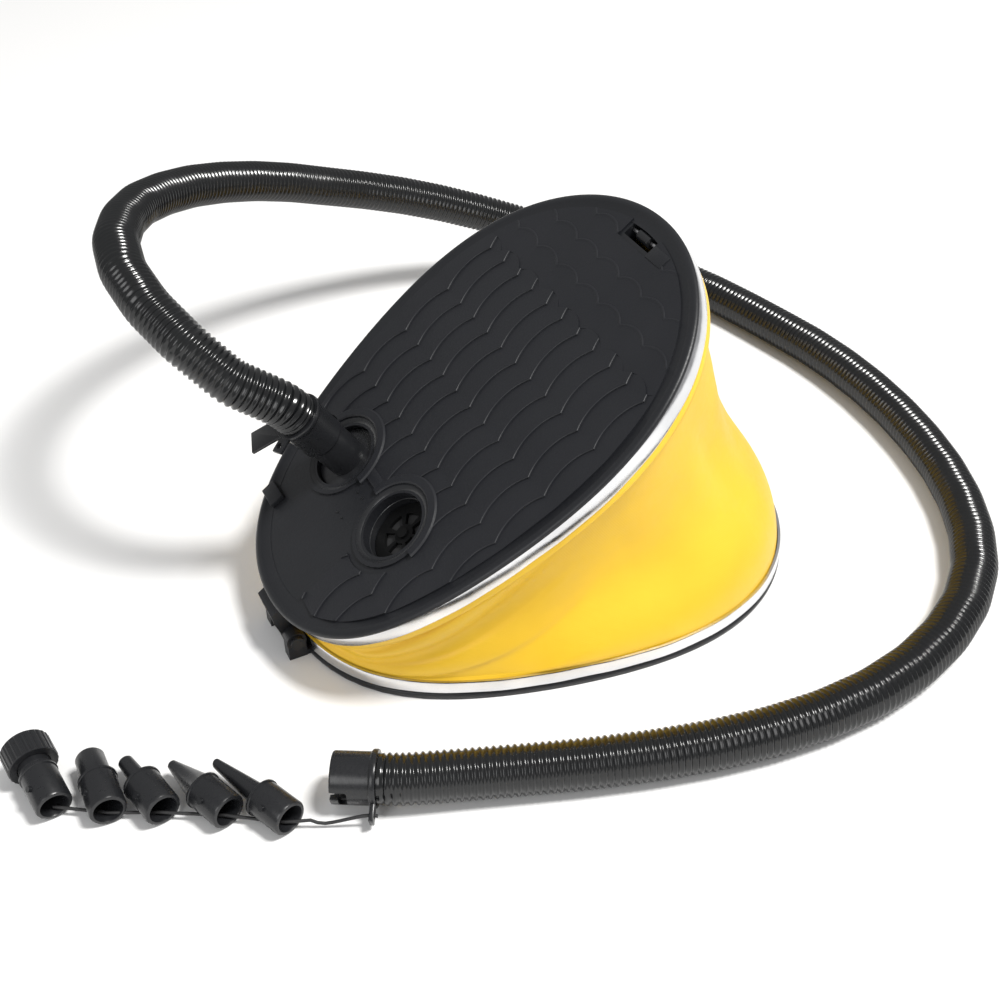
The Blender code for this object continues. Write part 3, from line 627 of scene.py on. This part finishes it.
def port_clearings():
    """What keeps the tread away from both ports and the plain corner behind them."""
    clear = [rod(0.0305, (PEDAL_X + PORT_U, v, 0), (PEDAL_X + PORT_U, v, 0.1), 64)
             for v in (INTAKE_V, OUTLET_V)]
    clear.append(block((PEDAL_X - 0.165, -0.020, 0), (PEDAL_X - 0.0655, 0.040, 0.1)))
    clear.append(block((PEDAL_X - 0.150, 0.030, 0), (PEDAL_X - 0.074, 0.100, 0.1)))
    return clear


def end_waves(height_base):
    """The finer waves across the open end, turned a quarter so that they bulge outwards."""
    waves = shingles(ARC_STEPS * 11, 4, 0.0044, height_base, BEAD, shift=0.16)
    bmesh.ops.scale(waves, verts=waves.verts, vec=(END_SCALLOP, 1, 1))
    bmesh.ops.rotate(waves, verts=waves.verts, cent=(0, 0, 0), matrix=Matrix.Rotation(-math.pi / 2, 3, "Z"))
    bmesh.ops.translate(waves, verts=waves.verts, vec=(PEDAL_X + 0.1475, 0.140, 0))
    return waves


def make_tread():
    """Both fields of scallops on the treadle."""
    main = shingles(ARC_STEPS * 7, 13, ARC, PEDAL_TOP + 0.0006, SHINGLE)
    bmesh.ops.scale(main, verts=main.verts, vec=(SCALLOP, 1, 1))
    bmesh.ops.translate(main, verts=main.verts, vec=(PEDAL_X - 0.030 - 3 * SCALLOP, 0.1031, 0))
    main = carve(main, [region(BORDER, -0.15, 0.0860)], "INTERSECT")
    main = carve(main, port_clearings() + [end_waves(PEDAL_TOP + 0.0060)])
    finish_on_pedal("tread_shingles", main, TREAD_BLACK, smooth=28)
    end = end_waves(PEDAL_TOP + 0.0008)
    latch = block((PEDAL_X + 0.1285, -0.0150, 0), (PEDAL_X + 0.1445, 0.0150, 0.1))
    end = carve(end, [region(BORDER, 0.0600, 0.15)], "INTERSECT")
    end = carve(end, [latch])
    finish_on_pedal("tread_end_shingles", end, TREAD_BLACK, smooth=28)


def make_rims():
    """Rounded rims of both shells."""
    roll = [(-0.0105, 0.0002), (-0.0046, 0.0003), (-0.0038, 0.0008), (-0.0020, 0.0010),
            (-0.0004, 0.0008), (0.0008, 0.0000), (0.0010, -0.0010), (0.0008, -0.0018),
            (-0.0012, -0.0020), (-0.0022, -0.0006), (-0.0105, -0.0006)]
    finish_on_pedal("treadle_rim", hoop([(o, PEDAL_TOP + z) for o, z in roll], PEDAL_X), SHELL_BLACK,
                    smooth=50)
    foot = [(-0.0028, 0.0044), (-0.0008, 0.0044), (0.0004, 0.0036), (0.0006, 0.0022), (0.0004, 0.0008),
            (-0.0004, 0.0001), (-0.0028, 0.0001)]
    base = piece("base_rim", hoop(foot, BASE_X, BASE_GROWTH), SHELL_BLACK, 50)
    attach(base, "base")


def make_bands():
    """Bright strips that clamp the cloth, a little wavy where they were rolled."""
    for name, node, centre, growth, low, high, place in (
            ("treadle_band", "top_band", PEDAL_X, 0.0, PEDAL_TOP - 0.0118, PEDAL_TOP - 0.0018, OPEN),
            ("base_band_strip", "base_band", BASE_X, BASE_GROWTH, 0.0048, 0.0128, None)):
        section = [(-0.0014, low), (0.0001, low), (0.0005, low + 0.0008),
                   (0.0004, (low + high) / 2), (0.0005, high - 0.0008), (0.0001, high),
                   (-0.0014, high)]
        work = hoop(section, centre, growth)
        for vert in work.verts:
            turn = math.atan2(vert.co.y, vert.co.x)
            wave = 0.00016 * math.sin(9 * turn + 1.2) + 0.00010 * math.sin(23 * turn)
            vert.co.y *= 1 + wave / 0.1
        band = piece(name, work, BRIGHT_BAND, 60, place)
        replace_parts(band, node)
        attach(band, "pedal" if place is not None else "base")


def make_ports():
    """Stepped rims, crescent collars and the bar that joins them."""
    for tag, v in (("intake", INTAKE_V), ("outlet", OUTLET_V)):
        at = Matrix.Translation((PEDAL_X + PORT_U, v, PEDAL_TOP))
        rim = spun([(0.0194, -0.0100), (0.0194, -0.0062), (0.0199, -0.0058), (0.0199, -0.0030),
                    (0.0207, -0.0026), (0.0207, -0.0006), (0.0213, 0.0), (0.0226, 0.0009),
                    (0.0243, 0.0012), (0.0249, 0.0004), (0.0249, -0.0006), (0.0219, -0.0006),
                    (0.0219, -0.0100)], 96, at)
        finish_on_pedal(tag + "_port_rim", rim, GLOSS_BLACK)
        collar = arc_block([(0.0247, -0.0006), (0.0247, 0.0020), (0.0256, 0.0026), (0.0296, 0.0024),
                            (0.0306, 0.0016), (0.0306, -0.0006)], math.radians(-92), math.radians(176), 64)
        bmesh.ops.transform(collar, matrix=at, verts=collar.verts)
        finish_on_pedal(tag + "_collar", collar, TREAD_BLACK)
    bar = block((PEDAL_X - 0.0655, -0.0040, TREAD_LOW), (PEDAL_X - 0.0585, 0.0200, PEDAL_TOP + 0.0015),
                bevel=0.0006)
    finish_on_pedal("port_bar", bar, TREAD_BLACK)
    for index, (u, v) in enumerate(((-0.0745, 0.0050), (-0.0745, 0.0110), (-0.0905, 0.0050),
                                    (-0.0905, 0.0110))):
        dot = rod(0.0007, (PEDAL_X + u, v, TREAD_LOW), (PEDAL_X + u, v, PEDAL_TOP + 0.0006), 12)
        finish_on_pedal("sink_dot_%d" % index, dot, GLOSS_BLACK)
    lug = block((PEDAL_X - 0.1215, 0.0530, TREAD_LOW), (PEDAL_X - 0.1120, 0.0690, PEDAL_TOP + 0.0036),
                bevel=0.0008)
    finish_on_pedal("stop_lug", lug, SHELL_BLACK)


def make_latch_surround():
    """The raised tongue beside the latch slot."""
    lobe = block((PEDAL_X + 0.1285, -0.0300, TREAD_LOW), (PEDAL_X + 0.1370, -0.0145, PEDAL_TOP + 0.0017),
                 bevel=0.0008)
    finish_on_pedal("latch_tongue", lobe, SHELL_BLACK)


def make_grids():
    """Valve grids deep in the ports: six windows round a hub, coloured near-black as painted shade of the
    port.
    """
    low, high = PEDAL_TOP - 0.0127, PEDAL_TOP - 0.0107
    for tag, v in (("intake", INTAKE_V), ("outlet", OUTLET_V)):
        disc = spun([(0.0, low), (0.0192, low), (0.0195, low + 0.0003), (0.0195, high - 0.0003),
                     (0.0192, high), (0.0, high)], 72)
        windows = []
        for step in range(6):
            windows.append(arc_block([(0.0060, low - 0.001), (0.0128, low - 0.001),
                                      (0.0128, high + 0.001), (0.0060, high + 0.001)],
                                     math.radians(60 * step + 8), math.radians(44), 12))
        grid = carve(disc, windows)
        bmesh.ops.translate(grid, verts=grid.verts, vec=(PEDAL_X + PORT_U, v, 0))
        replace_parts(finish_on_pedal(tag + "_valve_grid", grid, PORT_SHADE_BLACK), tag + "_grid")


def make_latch():
    """The hook that holds the pump shut, on its pin in the slot."""
    arm = block((-0.0022, -0.0055, -0.0195), (0.0012, 0.0055, 0.0022), bevel=0.0004)
    barb = block((-0.0085, -0.0053, -0.0205), (0.0010, 0.0053, -0.0183), bevel=0.0004)
    boss = rod(0.0034, (0, -0.0057, 0), (0, 0.0057, 0), 40)
    hook = carve(carve(arm, [barb, boss], "UNION"), [rod(0.0016, (0, -0.02, 0), (0, 0.02, 0), 24)])
    at = OPEN @ Matrix.Translation((PEDAL_X + LATCH_U, 0, LATCH_Z)) @ Matrix.Rotation(LATCH_LEAN, 4, "Y")
    latch = piece("closing_latch", hook, GLOSS_BLACK, 35, at)
    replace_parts(latch, "latch_hook")
    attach(latch, "latch")


make_tread()
make_grids()
make_latch()
make_rims()
make_bands()
make_ports()
make_latch_surround()

# ---------------------------------------------------------------- bellows

# How far up the cloth, how much of its width is drawn in
WAIST = ((0.0, 0.0), (0.05, 0.003), (0.12, 0.022), (0.20, 0.060), (0.28, 0.105), (0.36, 0.142),
         (0.45, 0.163), (0.56, 0.164), (0.68, 0.146), (0.82, 0.110), (0.92, 0.074), (1.0, 0.044))
CLOTH_BOTTOM, CLOTH_TOP = 0.0128, 0.0150      # where the loose cloth starts and ends


def waist(share):
    """How far the cloth is drawn in between the shells."""
    spots, depths = zip(*WAIST)
    around = [float(np.interp(share + shift, spots, depths)) for shift in (-0.03, -0.015, 0, 0.015, 0.03)]
    return 1 - sum(around) / len(around)


def make_bellows():
    """A sleeve of cloth fanned about the hinge: a hem, a crease under it and a drawn-in side."""
    rows = 56
    inset = -0.0019
    levels = [[(*xy, height, 0.0) for xy in ring_points(inset, BASE_GROWTH, BASE_X)]
              for height in (0.0046, 0.0090, CLOTH_BOTTOM)]
    levels += [free_row(row / rows, inset) for row in range(1, rows)]
    for height, offset in ((0.0196, -0.0052), (0.0178, -0.0040), (0.0163, -0.0026), (0.0160, -0.0016),
                           (0.0164, -0.0008), (0.0180, -0.0006), (0.0205, -0.0007), (0.0240, -0.0012),
                           (0.0300, -0.0016)):
        levels.append([(*xy, height, 1.0) for xy in ring_points(offset, 0.0, PEDAL_X)])
    work = bmesh.new()
    loops = []
    for points in levels:
        ring = []
        for x, y, z, share in points:
            turn = Matrix.Rotation(-OPEN_ANGLE * share, 4, "Y")
            ring.append(work.verts.new(turn @ (Vector((x, y, z)) - HINGE) + HINGE))
        loops.append(ring)
    skin(work, loops, capped=False)
    cloth = piece("bellows_cloth", work, CLOTH, 70)
    give_thickness(cloth, 0.0008)
    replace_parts(cloth, "bellows")
    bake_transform(cloth)


def give_thickness(obj, thickness):
    """A wall of even thickness, inwards, made part of the mesh."""
    wall = obj.modifiers.new("wall", "SOLIDIFY")
    wall.thickness = thickness
    wall.offset = -1
    bpy.context.view_layer.update()
    made = bpy.data.meshes.new_from_object(obj.evaluated_get(bpy.context.evaluated_depsgraph_get()))
    obj.modifiers.clear()
    obj.data = made


def ring_points(inset, growth, centre):
    """The pump's outline as a ring of points."""
    points = []
    for step in range(FINE):
        x, y = outline_point(2 * math.pi * step / FINE, inset, growth)
        points.append((x + centre, y))
    return points


def free_row(share, inset):
    """One level of the loose cloth, before it is fanned."""
    points = []
    for step in range(FINE):
        t = 2 * math.pi * step / FINE
        t -= 2 * math.pi if t > math.pi else 0
        bx, by = outline_point(t, inset, BASE_GROWTH)
        px, py = outline_point(t, inset)
        x, y = bx + (px - bx) * share, by + (py - by) * share
        room = min(1.0, max(0.0, (x + HALF_LENGTH) / HALF_LENGTH - 0.15))
        pinch = 1 - (1 - waist(share)) * room
        side = math.sin(t)
        near = max(0.0, 1 - abs(math.cos(t) + 0.50) / 0.48) * abs(side)
        wave = math.sin(2 * math.pi * (1.9 * share - 1.1 * math.cos(t)) + 0.6)
        pleat = 0.0052 * near ** 0.7 * (abs(wave) ** 0.6 * math.copysign(1, wave)) * (0.35 + 0.65 * share)
        soft = math.sin(math.pi * share)
        fold = 0.0030 * math.exp(-((t + 0.62 + 0.25 * share) / 0.10) ** 2)
        drape = soft * (0.0013 * math.sin(6 * t + 4 * share + 0.5) + 0.0006 * math.sin(15 * t - 6 * share)
                        - (fold if t < math.pi else 0))
        push = 1 + (pleat + drape) / HALF_LENGTH
        centre = BASE_X + (PEDAL_X - BASE_X) * share
        points.append((centre + x * pinch * push, y * pinch * push,
                       CLOTH_BOTTOM + (CLOTH_TOP - CLOTH_BOTTOM) * share, share))
    return points


make_bellows()

SPRING_R = 0.0270
SPRING_WIRE = 0.0016
SPRING_TURNS = 6.5
SPRING_ARM = BASE_X - 0.012 - HINGE.x


def make_spring():
    """The coil that opens the pump, bent on an arc about the hinge between the shells."""
    clear = SPRING_WIRE + 0.0004
    far = SPRING_ARM + SPRING_R
    low = math.asin((0.0025 + clear - HINGE.z) / far)
    high = OPEN_ANGLE + math.asin((PEDAL_TOP - 0.0033 - clear - HINGE.z) / far)
    steps, sides = 260, 10
    line, lifts = [], []
    for step in range(steps + 1):
        share = step / steps
        eased = min(1.0, max(0.0, (share * SPRING_TURNS - 0.85) / (SPRING_TURNS - 1.7)))
        lift = low + (high - low) * eased
        turn = 2 * math.pi * SPRING_TURNS * share
        reach = SPRING_ARM + SPRING_R * math.cos(turn)
        line.append(HINGE + Vector((reach * math.cos(lift), SPRING_R * math.sin(turn),
                                    reach * math.sin(lift))))
        lifts.append(eased)
    work = bmesh.new()
    loops, shares = [], []
    side = Vector((0, 0, 1))
    for index, point in enumerate(line):
        along = (line[min(index + 1, steps)] - line[max(index - 1, 0)]).normalized()
        side = (side - along * side.dot(along)).normalized()
        up = along.cross(side)
        loops.append([work.verts.new(point + (side * math.cos(a) + up * math.sin(a)) * SPRING_WIRE)
                      for a in (2 * math.pi * k / sides for k in range(sides))])
        shares += [lifts[index]] * sides
    skin(work, loops)
    spring = piece("opening_spring", work, STEEL, 70)
    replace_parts(spring, "return_spring")
    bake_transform(spring)


make_spring()

# ---------------------------------------------------------------- cuffs, pipe and nozzles


def cuff_shape(lever):
    """Bayonet cuff: mouth at the origin, flange towards the hose, an eyelet towards -X."""
    end = CUFF_LENGTH
    body = spun([(0.0136, 0.0006), (0.01365, 0.0012), (0.01365, end - 0.0006), (0.0141, end),
                 (0.0147, end), (0.0150, end + 0.0005), (0.0150, end + 0.0025), (0.0147, end + 0.0030),
                 (0.0090, end + 0.0030), (0.0090, end - 0.003), (0.0101, end - 0.003), (0.0101, 0.0006),
                 (0.0104, 0.0), (0.0133, 0.0)], 96)
    adds = [block((-0.0235, -0.0036, end + 0.0002), (-0.0130, 0.0036, end + 0.0028), bevel=0.0006)]
    if lever:
        turn = Matrix.Rotation(math.radians(-47), 4, "Z")
        adds.append(block((-0.0330, -0.0076, end + 0.0004), (-0.0120, 0.0076, end + 0.0025), turn, 0.0005))
    body = carve(body, adds, "UNION")
    cuts = [rod(0.0018, (EYELET_X, 0, 0), (EYELET_X, 0, 0.04))]
    for side in (0, 1):
        turn = Matrix.Rotation(math.radians(155) + math.pi * side, 4, "Z")
        slot = carve(block((0.0080, -0.0023, -0.002), (0.0200, 0.0023, 0.0083), bevel=0.0007),
                     [block((0.0079, -0.0022, 0.0043), (0.0201, 0.0078, 0.0088), bevel=0.0012)], "UNION")
        bmesh.ops.transform(slot, matrix=turn, verts=slot.verts)
        cuts.append(slot)
    return carve(body, cuts)


def make_cuffs():
    """The pump's cuff with its lever, and the free one."""
    place = OPEN @ Matrix.Translation((PEDAL_X + PORT_U, OUTLET_V, PEDAL_TOP + CUFF_START)) \
        @ Matrix.Rotation(math.radians(25), 4, "Z")
    upper = piece("hose_cuff_upper", cuff_shape(True), GLOSS_BLACK, 32, place)
    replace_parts(upper, "pump_cuff")
    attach(upper, "hose_cuff")
    free = piece("hose_cuff_free", cuff_shape(False), GLOSS_BLACK, 32, end_cuff_frame())
    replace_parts(free, "end_cuff")
    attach(free, "base")
    return free


def make_pipe():
    """The outlet's stub with a groove for its seal, on a washer in the port."""
    groove = CUFF_START + 0.0100
    profile = [(0.0120, -0.0030), (0.0190, -0.0034), (0.0194, -0.0038), (0.0194, -0.0055),
               (0.0073, -0.0055), (0.0073, CUFF_START + 0.016), (0.0095, CUFF_START + 0.016),
               (0.00975, CUFF_START + 0.0156), (0.00975, groove + 0.0022), (0.0084, groove + 0.0022),
               (0.0084, groove), (0.00975, groove), (0.00975, CUFF_START - 0.0004),
               (0.0117, CUFF_START - 0.0004), (0.0120, CUFF_START - 0.0008)]
    place = OPEN @ Matrix.Translation((PEDAL_X + PORT_U, OUTLET_V, PEDAL_TOP))
    pipe = piece("outlet_stub", spun(profile, 80), GLOSS_BLACK, 35, place)
    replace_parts(pipe, "outlet_pipe")
    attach(pipe, "pedal")


NOZZLE_TIPS = {
    "nozzle_screw_body": [(0.0086, 0.0235), (0.0086, 0.0250), (0.0088, 0.0252), (0.0088, 0.0430),
                          (0.0080, 0.0440), (0.0060, 0.0440)],
    "nozzle_wide": [(0.0090, 0.0236), (0.0079, 0.0250), (0.0077, 0.0390), (0.0071, 0.0400),
                    (0.0060, 0.0400)],
    "nozzle_narrow": [(0.0070, 0.0242), (0.0049, 0.0262), (0.0041, 0.0412), (0.0035, 0.0420),
                      (0.0024, 0.0420)],
    "nozzle_cone": [(0.0090, 0.0226), (0.0079, 0.0238), (0.0026, 0.0472), (0.0018, 0.0480),
                    (0.0010, 0.0480)],
    "nozzle_slant": [(0.0080, 0.0226), (0.0059, 0.0242), (0.0025, 0.0575), (0.0020, 0.0580),
                     (0.0012, 0.0580)],
}


def make_nozzles():
    """Five nozzles with bayonet pins, and the screw one's knurled collar."""
    knurls = 26
    made = []
    for name, tip in NOZZLE_TIPS.items():
        shoulder = tip[0][1] - 0.0022
        bore = tip[-1][0]
        profile = [(0.0086, 0.0), (0.0093, 0.0003), (BODY_R, 0.0012), (BODY_R, shoulder),
                   (0.0103, shoulder + 0.0003), (0.0103, shoulder + 0.0013), (0.0097, shoulder + 0.0018),
                   *tip, (bore, 0.0210), (SOCKET_R, 0.0190), (SOCKET_R, 0.0010), (0.0076, 0.0)]
        work = spun(profile, 72)
        pins = []
        for side in (-1, 1):
            out = Vector((side * math.cos(math.radians(38)), side * math.sin(math.radians(38)), 0))
            high = Vector((0, 0, 0.0115))
            pins.append(rod(0.0016, out * 0.0085 + high, out * 0.0112 + high, 20))
        work = carve(work, pins, "UNION")
        if name == "nozzle_slant":
            wedge = block((-0.02, 0, -0.02), (0.02, 0.02, 0.02))
            bmesh.ops.transform(wedge, verts=wedge.verts, matrix=Matrix.Translation((0, -0.0026, 0.0575))
                                @ Matrix.Rotation(math.radians(62), 4, "X"))
            work = carve(work, [wedge])
        nozzle = piece(name + "_moulding", work, GLOSS_BLACK, 32, nozzle_frame(name))
        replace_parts(nozzle, name)
        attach(nozzle, "base")
        made.append(nozzle)
    grooves = []
    for step in range(knurls):
        turn = 2 * math.pi * step / knurls
        spot = Vector((math.cos(turn), math.sin(turn), 0)) * 0.0142
        grooves.append(rod(0.0013, spot + Vector((0, 0, 0.028)), spot + Vector((0, 0, 0.044)), 10))
    ring = spun([(0.0092, 0.0285), (0.0128, 0.0285), (0.0134, 0.0291), (0.0134, 0.0419),
                 (0.0128, 0.0425), (0.0092, 0.0425)], 104)
    collar = piece("knurled_collar", carve(ring, grooves), GLOSS_BLACK, 32,
                   nozzle_frame("nozzle_screw_body"))
    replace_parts(collar, "nozzle_collar")
    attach(collar, "screw_collar")
    made.append(collar)
    return made


free_cuff = make_cuffs()
make_pipe()
nozzles = make_nozzles()

# ---------------------------------------------------------------- frame nodes that stay in view

PAINTS = {
    SHELL_BLACK: ("base_shell", "top_shell"),
    # The pegs in the ports take the painted port shade too
    PORT_SHADE_BLACK: ("intake_peg", "outlet_peg"),
    STEEL: ("pin_clip", "latch_pin"),
    GLOSS_BLACK: ("hinge_pin",),
    SOFT_RUBBER: ("intake_flap", "outlet_flap", "outlet_seal"),
}
for paint, nodes in PAINTS.items():
    for node in nodes:
        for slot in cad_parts[node].material_slots:
            slot.material = paint
